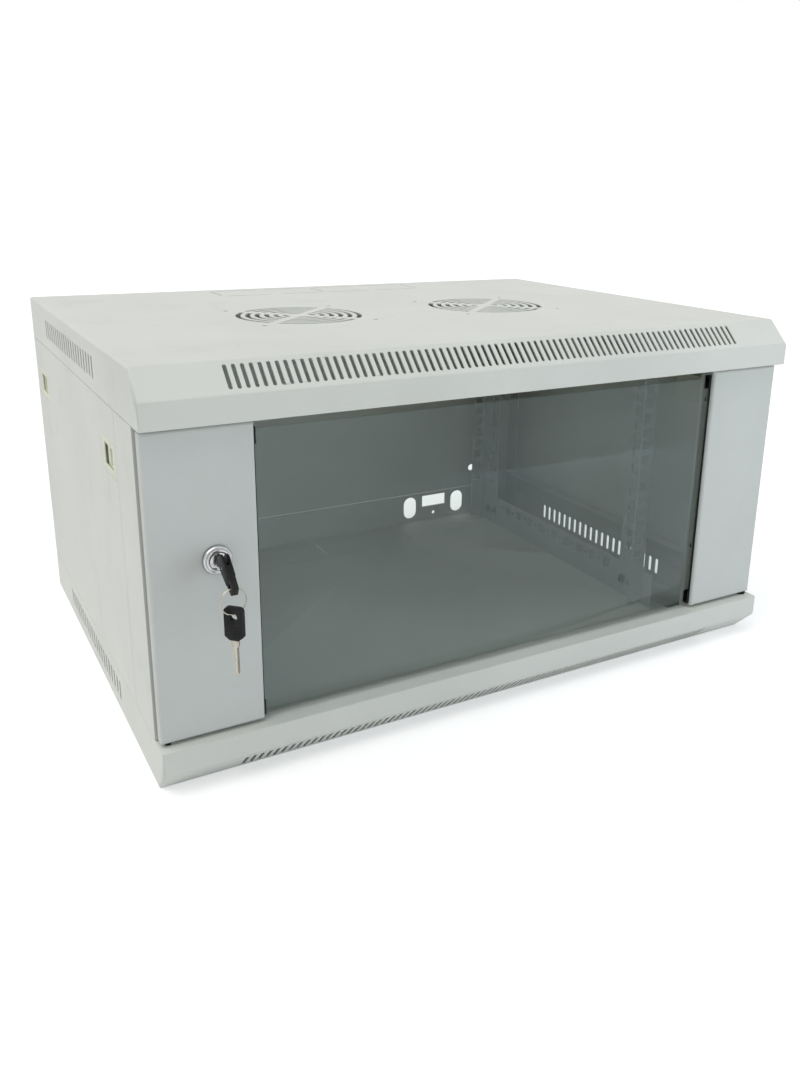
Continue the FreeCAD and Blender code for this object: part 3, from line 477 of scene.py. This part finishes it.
def cross_screw(radius, height, shank_r, shank):
    """A domed screw with a cross recess: seat at the origin, head along +Z, shank along -Z."""
    work = bmesh.new()
    rim = ring_of(work, [(x, y, 0.0) for x, y in circle(radius, 32)])
    bmesh.ops.edgeloop_fill(work, edges=rim)
    seat = list(work.faces)
    bmesh.ops.inset_region(work, faces=seat, thickness=radius - shank_r)
    pulled(work, seat, (0.0, 0.0, -shank))
    loop = [e for e in work.edges if e.is_boundary]
    for rise, scale in ((0.35, 1.0), (0.35, 0.90), (0.22, 0.76), (0.08, 0.72)):
        loop = raised(work, loop, rise * height, scale)
    arm, side = 0.42 * radius, 0.10 * radius
    quarter = [(arm, -side), (arm, side), (side, side)]
    cross = []
    for k in range(4):
        turn = Matrix.Rotation(math.tau * k / 4.0, 2)
        cross += [(*(turn @ Vector(q)), height) for q in quarter]
    slot = ring_of(work, cross)
    bmesh.ops.bridge_loops(work, edges=loop + slot)
    floor = raised(work, slot, -0.55 * height, 0.70)
    bmesh.ops.edgeloop_fill(work, edges=floor)
    return work


def as_mesh(work):
    """A mesh to stamp, its faces turned outwards."""
    bmesh.ops.recalc_face_normals(work, faces=work.faces)
    mesh = bpy.data.meshes.new("pattern")
    work.to_mesh(mesh)
    work.free()
    return mesh


def block(size, soft):
    """A box about the origin with its edges rounded, as a mesh to stamp."""
    work = bmesh.new()
    bmesh.ops.create_cube(work, size=1.0)
    bmesh.ops.scale(work, vec=size, verts=work.verts)
    round_edges(work, work.edges[:], soft, 2)
    return as_mesh(work)


# ---- lock, key, ring and spare key ----

def lock_bezel():
    """Stepped chrome bezel over the lock's barrel."""
    low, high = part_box("lock_housing")
    centre = Vector(joints["lock_turn"]["pos_m"])
    front, back = -(low[1] - centre.y), -(high[1] - centre.y)
    bore, barrel = 6.55 * MM, 9.5 * MM
    rim = (high[0] - low[0]) / 2.0
    outline = [
        (bore, back), (bore, front - 0.9 * MM), (bore + 0.25 * MM, front - 0.35 * MM),
        (bore + 0.8 * MM, front - 0.05 * MM), (bore + 1.5 * MM, front), (bore + 2.1 * MM, front - 0.25 * MM),
        (bore + 2.3 * MM, front - 0.85 * MM), (bore + 2.6 * MM, front - 1.05 * MM),
        (bore + 3.1 * MM, front - 0.95 * MM), (rim - 1.0 * MM, front - 1.15 * MM),
        (rim - 0.35 * MM, front - 1.8 * MM), (rim, front - 2.8 * MM), (rim, 0.15 * MM),
        (rim - 0.2 * MM, 0.0), (barrel, 0.0)]
    threads = 12
    pitch = (-back - 1.0 * MM) / threads
    for k in range(threads):
        z = -k * pitch
        outline += [(barrel, z - 0.15 * pitch), (barrel - 0.35 * MM, z - 0.5 * pitch),
                    (barrel, z - 0.85 * pitch)]
    outline.append((barrel - 0.4 * MM, back))
    work = lathed(outline, 64)
    bmesh.ops.transform(work, matrix=along((0.0, -1.0, 0.0), centre), verts=work.verts)
    finished(work, "lock_bezel", "door", "chrome_lock", "lock_housing")


def split_ring():
    """Two turns of nickelled wire lying side by side, their ends cut square."""
    wire, turns, pitch = 0.43 * MM, 2.0, 0.88 * MM
    centre = Vector(joints["ring_swing"]["pos_m"]) - Vector((0.0, 0.0, RING_RADIUS))
    first = -turns * pitch / 2.0
    section = [(RING_RADIUS + x, first + y, 0.0) for x, y in circle(wire, 12)]
    work = wound(section, (0.0, 1.0, 0.0), turns, 144, turns * pitch)
    ends_at = Matrix.Rotation(math.radians(115.0), 3, "Y")
    bmesh.ops.rotate(work, cent=(0.0, 0.0, 0.0), matrix=ends_at, verts=work.verts)
    bmesh.ops.translate(work, vec=centre, verts=work.verts)
    finished(work, "split_ring", "ring", "nickel_key", "key_ring")


def spare_place():
    """Where the middle of the drawn spare key's hole hangs."""
    low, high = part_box("spare_key_head")
    return Vector(((low[0] + high[0]) / 2.0, (low[1] + high[1]) / 2.0,
                   high[2] - SPARE_HOLE_DROP + SPARE_LIFT))


def slab(outline, thick):
    """A plate of an outline of (Y, Z) pairs, its middle plane on X = 0."""
    work = bmesh.new()
    ring_of(work, [(-thick / 2.0, y, z) for y, z in outline])
    bmesh.ops.edgeloop_fill(work, edges=work.edges)
    pulled(work, list(work.faces), (thick, 0.0, 0.0))
    bmesh.ops.recalc_face_normals(work, faces=work.faces)
    return work


def broad_faces(work):
    """The broad flat faces of a slab that lies across X."""
    return [f for f in work.faces if abs(f.normal.x) > 0.9 and f.calc_area() > 8.0 * MM * MM]


def hung(work, name, slot, node):
    """Turns a spare key piece to its angle, hangs it on the ring and finishes it."""
    bmesh.ops.rotate(work, cent=(0.0, 0.0, 0.0), matrix=Matrix.Rotation(math.radians(45.0), 3, "Z"),
                     verts=work.verts)
    bmesh.ops.translate(work, vec=spare_place(), verts=work.verts)
    finished(work, name, "spare_key", slot, node)


def spare_head():
    """The spare key's moulded head: round corners above, a hole, grip bars, and cut corners below."""
    half, low, cut, corner = 7.0 * MM, SPARE_TOP - SPARE_HEAD, 3.6 * MM, 3.0 * MM
    outline = [(-half, low + 0.8 * cut), (-half + cut, low), (half - cut, low), (half, low + 0.8 * cut)]
    for middle, start in ((half - corner, 0.0), (corner - half, 90.0)):
        for k in range(5):
            a = math.radians(start + 90.0 * k / 4.0)
            outline.append((middle + corner * math.cos(a), SPARE_TOP - corner + corner * math.sin(a)))
    thick, hole_r = 4.2 * MM, 3.1 * MM
    work = slab(outline, thick)
    sides = [f for f in work.faces if abs(f.normal.x) > 0.9]
    bmesh.ops.delete(work, geom=sides, context="FACES_ONLY")
    for side in (-1.0, 1.0):
        rim = [e for e in work.edges if e.is_boundary and (e.verts[0].co.x > 0.0) == (side > 0.0)]
        hole = ring_of(work, [(side * thick / 2.0, y, z) for y, z in circle(hole_r, 24)])
        bmesh.ops.bridge_loops(work, edges=rim + hole)
    bmesh.ops.bridge_loops(work, edges=[e for e in work.edges if e.is_boundary])
    bmesh.ops.recalc_face_normals(work, faces=work.faces)
    round_edges(work, [e for e in work.edges if e.calc_face_angle(0.0) > math.radians(30.0)], 0.6 * MM, 3)
    first_bar, bar_pitch = -6.6 * MM, 2.4 * MM
    bar = block((0.8 * MM, 8.6 * MM, 0.9 * MM), 0.3 * MM)
    for side in (-1.0, 1.0):
        for k in range(4):
            stamp(work, bar, Matrix.Translation((side * 2.0 * MM, 0.0, first_bar - bar_pitch * k)))
    hung(work, "spare_head", "black_plastic", "spare_key_head")


def spare_blade():
    """The spare key's blade: a collar, cuts along one edge, a round tip and a milled channel."""
    half, shoulder, length, tip = 2.9, 6.0, 28.0, 1.9
    outline = [(-half, 0.0), (half, 0.0), (half, -shoulder), (half - 0.9, -shoulder - 0.8)]
    cuts = [(-9.0, 0.9), (-10.2, 1.6), (-11.8, 1.6), (-13.0, 0.9), (-14.4, 1.0), (-15.6, 1.9), (-17.0, 1.9),
            (-18.4, 1.1), (-19.6, 1.2), (-20.8, 1.7), (-22.2, 1.7), (-23.4, 1.1)]
    outline += [(half - depth, z) for z, depth in cuts]
    for k in range(7):
        a = math.pi * k / 6.0
        outline.append((tip * math.cos(a) - 0.2, -(length - tip) - tip * math.sin(a)))
    outline += [(-half + 0.8, -shoulder - 0.8), (-half, -shoulder)]
    top = SPARE_TOP - SPARE_HEAD + 1.0 * MM
    work = slab([(y * MM, top + z * MM) for y, z in outline], 1.8 * MM)
    for inset, sink in ((0.50, 0.0), (0.25, 0.30)):
        bmesh.ops.inset_individual(work, faces=broad_faces(work), thickness=inset * MM, depth=-sink * MM)
    hung(work, "spare_blade", "nickel_key", "spare_key_blade")


def fuller_tab(point):
    """The folding head's thin tab, thickened almost to the head's own cheeks."""
    tab_half, fuller_half = 1.5 * MM, 2.3 * MM
    lock_x = joints["key_fold"]["pos_m"][0]
    away = point.x - lock_x
    if abs(abs(away) - tab_half) < 0.05 * MM:
        return Vector((lock_x + math.copysign(fuller_half, away), point.y, point.z))
    return point


lock_bezel()
split_ring()
spare_head()
spare_blade()
softened("lock_cylinder", 0.25 * MM)
softened("key_head", 0.55 * MM, 3, 30.0, fuller_tab)
softened("key_blade", 0.15 * MM)
softened("key_pin", 0.2 * MM)
softened("lock_cam", 0.25 * MM)
softened("lock_nut", 0.4 * MM)


# ---- screws, latches, springs and trim ----

def rack_screws():
    """Domed cross screws in place of the plain bolts that hold the rails to their brackets."""
    boxes = solids("rail_bolts")
    low, high = boxes[0]
    head, shank_r, radius = 3.0 * MM, 3.0 * MM, (high.y - low.y) / 2.0
    turn_each = 1.37
    pattern = as_mesh(cross_screw(radius, head, shank_r, high.x - low.x - head))
    work = bmesh.new()
    for k, (low, high) in enumerate(boxes):
        side = -1.0 if low.x > 0.0 else 1.0
        seat = (low.x + head) if side < 0.0 else (high.x - head)
        place = Vector((seat, (low.y + high.y) / 2.0, (low.z + high.z) / 2.0))
        turn = Matrix.Rotation(turn_each * k, 4, "Z")
        stamp(work, pattern, along((side, 0.0, 0.0), place) @ turn)
    finished(work, "rack_screws", "cabinet", "zinc_fastener", "rail_bolts")


def drawn_in(point):
    """Rubber and clips pressed back beside the plates' inner edges."""
    kept = 0.32
    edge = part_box("door_plate_right")[0][0]
    away = abs(point.x)
    if away < edge:
        away = edge - kept * (edge - away)
    return Vector((math.copysign(away, point.x), point.y, point.z))


def shallower(point):
    """The floor of a finger pocket, brought nearer to the slider's face."""
    pocket, shown = 4.6 * MM, 2.6 * MM
    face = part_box("latch_slider_front_right")[1][0]
    depth = face - abs(point.x)
    if abs(depth - pocket) < 0.1 * MM:
        return Vector((math.copysign(face - shown, point.x), point.y, point.z))
    return point


def coil_spring(name, body, node, start, axis, radius, length, turns, joint):
    """A wire spring from its fixed end, on a mesh of its own; the joint that pushes on it is looked up but
    does not press it together.
    """
    wire = 0.35 * MM
    section = [(radius + x, 0.0, wire + z) for x, z in circle(wire, 8)]
    work = wound(section, (0.0, 0.0, 1.0), turns, 20 * turns, length - 2.0 * wire)
    bmesh.ops.transform(work, matrix=along(axis, start), verts=work.verts)
    piece = finished(work, name, body, "zinc_fastener", node)
    low, high = joints[joint]["range_m"]
    1.0 - (high - low) / length
    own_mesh(piece)


def latch_parts(end, side):
    """A slider with a skirt over its spring's bay, and the spring."""
    way = -1.0 if side == "left" else 1.0
    back = 1.0 if end == "front" else -1.0
    tag = end + "_" + side
    low, high = (Vector(c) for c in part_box("latch_slider_" + tag))
    outer = max(abs(low.x), abs(high.x))
    middle_z = (low.z + high.z) / 2.0
    tail = high.y if end == "front" else low.y

    skirt_sheet, skirt_length, skirt_lap = 1.0 * MM, 7.4 * MM, 2.1 * MM
    skirt = block((skirt_sheet, skirt_length, high.z - low.z - 1.6 * MM), 0.3 * MM)
    place = (way * (outer - 0.7 * MM), tail + back * (skirt_length / 2.0 - skirt_lap), middle_z)
    work = rounded("latch_slider_" + tag, 0.6 * MM, 3, 40.0, shallower)
    stamp(work, skirt, Matrix.Translation(place))
    finished(work, "latch_slider_%s_rounded" % tag, "latch_" + tag, "latch_plastic",
             "latch_slider_" + tag)

    length = 11.7 * MM
    start = (way * (outer - 3.6 * MM), tail + back * length, middle_z)
    coil_spring("latch_coil_" + tag, "cabinet", "latch_spring_" + tag, start, (0.0, -back, 0.0),
                2.0 * MM, length, 6, "latch_%s_slide" % tag)


def pin_coil():
    """The spring that holds the upper hinge pin up."""
    low, high = (Vector(c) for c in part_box("upper_hinge_pin"))
    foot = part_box("door_plate_right")[1][2] - 30.0 * MM
    start = ((low.x + high.x) / 2.0, (low.y + high.y) / 2.0, foot)
    coil_spring("pin_coil", "door", "upper_pin_spring", start, (0.0, 0.0, 1.0), 3.0 * MM,
                26.3 * MM, 7, "upper_pin_slide")


for side in ("left", "right"):
    for end in ("front", "rear"):
        latch_parts(end, side)
pin_coil()
slotted_cover("top_cover")
slotted_cover("bottom_cover")
rack_screws()
for node in ("rail_nuts", "frame_nuts", "rear_panel_nuts"):
    softened(node, 0.3 * MM, 1)
for node in ("lower_hinge_pin", "upper_hinge_pin", "hinge_washer"):
    softened(node, 0.3 * MM)
softened("door_glass", 0.5 * MM)
softened("glass_clips", 0.6 * MM, 3, 40.0, drawn_in)
for side in ("left", "right"):
    softened("glass_seal_" + side, 0.4 * MM, 3, 40.0, drawn_in)
    softened("glass_retainer_" + side, 0.5 * MM)
    for end in ("front", "rear"):
        softened("latch_housing_%s_%s" % (end, side), 0.8 * MM, 3)


# ---- floor, light and camera ----

def studio_floor():
    """A pale floor that lifts to white where it's seen and keeps the shadow."""
    f = Finish(bpy.data.materials.new("studio_floor"))
    seen = f.ray("Is Camera Ray") + f.ray("Is Glossy Ray") + f.ray("Is Transmission Ray")
    plain = f.add("ShaderNodeBsdfDiffuse", None, {"Color": (0.80, 0.80, 0.80)})
    lift = f.add("ShaderNodeEmission", None, {"Color": (1.0, 1.0, 1.0), "Strength": seen * 0.42})
    work = bmesh.new()
    bmesh.ops.create_grid(work, x_segments=1, y_segments=1, size=30.0)
    mesh = bpy.data.meshes.new("floor")
    work.to_mesh(mesh)
    work.free()
    mesh.materials.append(f.done(f.add("ShaderNodeAddShader", None, {0: plain, 1: lift})))
    floor = added("floor", mesh)


def backdrop():
    """A white background where it's seen, and a cooler, weaker light from all around."""
    world = bpy.data.worlds.new("studio")
    bpy.context.scene.world = world
    f = Finish(world, "ShaderNodeOutputWorld")
    seen = f.ray("Is Camera Ray").most(f.ray("Is Glossy Ray").most(f.ray("Is Transmission Ray")))
    soft = f.add("ShaderNodeBackground", None, {"Color": (0.93, 0.97, 1.0), "Strength": 0.485})
    white = f.add("ShaderNodeBackground", None, {"Color": (1.0, 1.0, 1.0), "Strength": 1.0})
    f.done(f.add("ShaderNodeMixShader", None, {0: seen, 1: soft, 2: white}))


def key_light():
    """A broad sun from the upper left."""
    lamp = bpy.data.lights.new("key", "SUN")
    lamp.energy = 1.52
    lamp.color = (1.0, 0.985, 0.955)
    lamp.angle = math.radians(60.0)
    holder = added("key", lamp)
    holder.rotation_euler = Vector((-0.50, -0.02, 1.0)).to_track_quat("Z", "Y").to_euler()


def side_light():
    """A cool soft box to the right of the front, left out of mirrors."""
    lamp = bpy.data.lights.new("side", "AREA")
    lamp.energy = 6.4
    lamp.color = (0.78, 0.90, 1.0)
    lamp.size = 1.0
    holder = added("side", lamp)
    where, target = Vector((0.95, -1.30, 0.36)), Vector((0.10, -0.20, 0.16))
    holder.location = where
    holder.rotation_euler = (where - target).to_track_quat("Z", "Y").to_euler()
    holder.visible_glossy = False


def camera():
    """The camera stands to the left of the front and looks a little down."""
    azimuth, elevation, roll = math.radians(-30.0), math.radians(17.0), math.radians(1.0)
    back = Vector((math.sin(azimuth) * math.cos(elevation),
                   -math.cos(azimuth) * math.cos(elevation), math.sin(elevation)))
    right = Vector((0.0, 0.0, 1.0)).cross(back).normalized()
    up = back.cross(right)
    turned_right = math.cos(roll) * right + math.sin(roll) * up
    turned_up = math.cos(roll) * up - math.sin(roll) * right
    lens = bpy.data.cameras.new("camera")
    lens.sensor_width = 36.0
    lens.lens = 32.19
    lens.shift_x = -0.031
    lens.shift_y = -0.053
    lens.clip_start = 0.01
    lens.clip_end = 100.0
    eye = added("camera", lens)
    turn = Matrix((turned_right, turned_up, back)).transposed().to_4x4()
    eye.matrix_world = Matrix.Translation(Vector((-0.4325, -0.8350, 0.4340))) @ turn
    bpy.context.scene.camera = eye


studio_floor()
backdrop()
key_light()
side_light()
camera()
bpy.context.scene.view_settings.view_transform = "Standard"
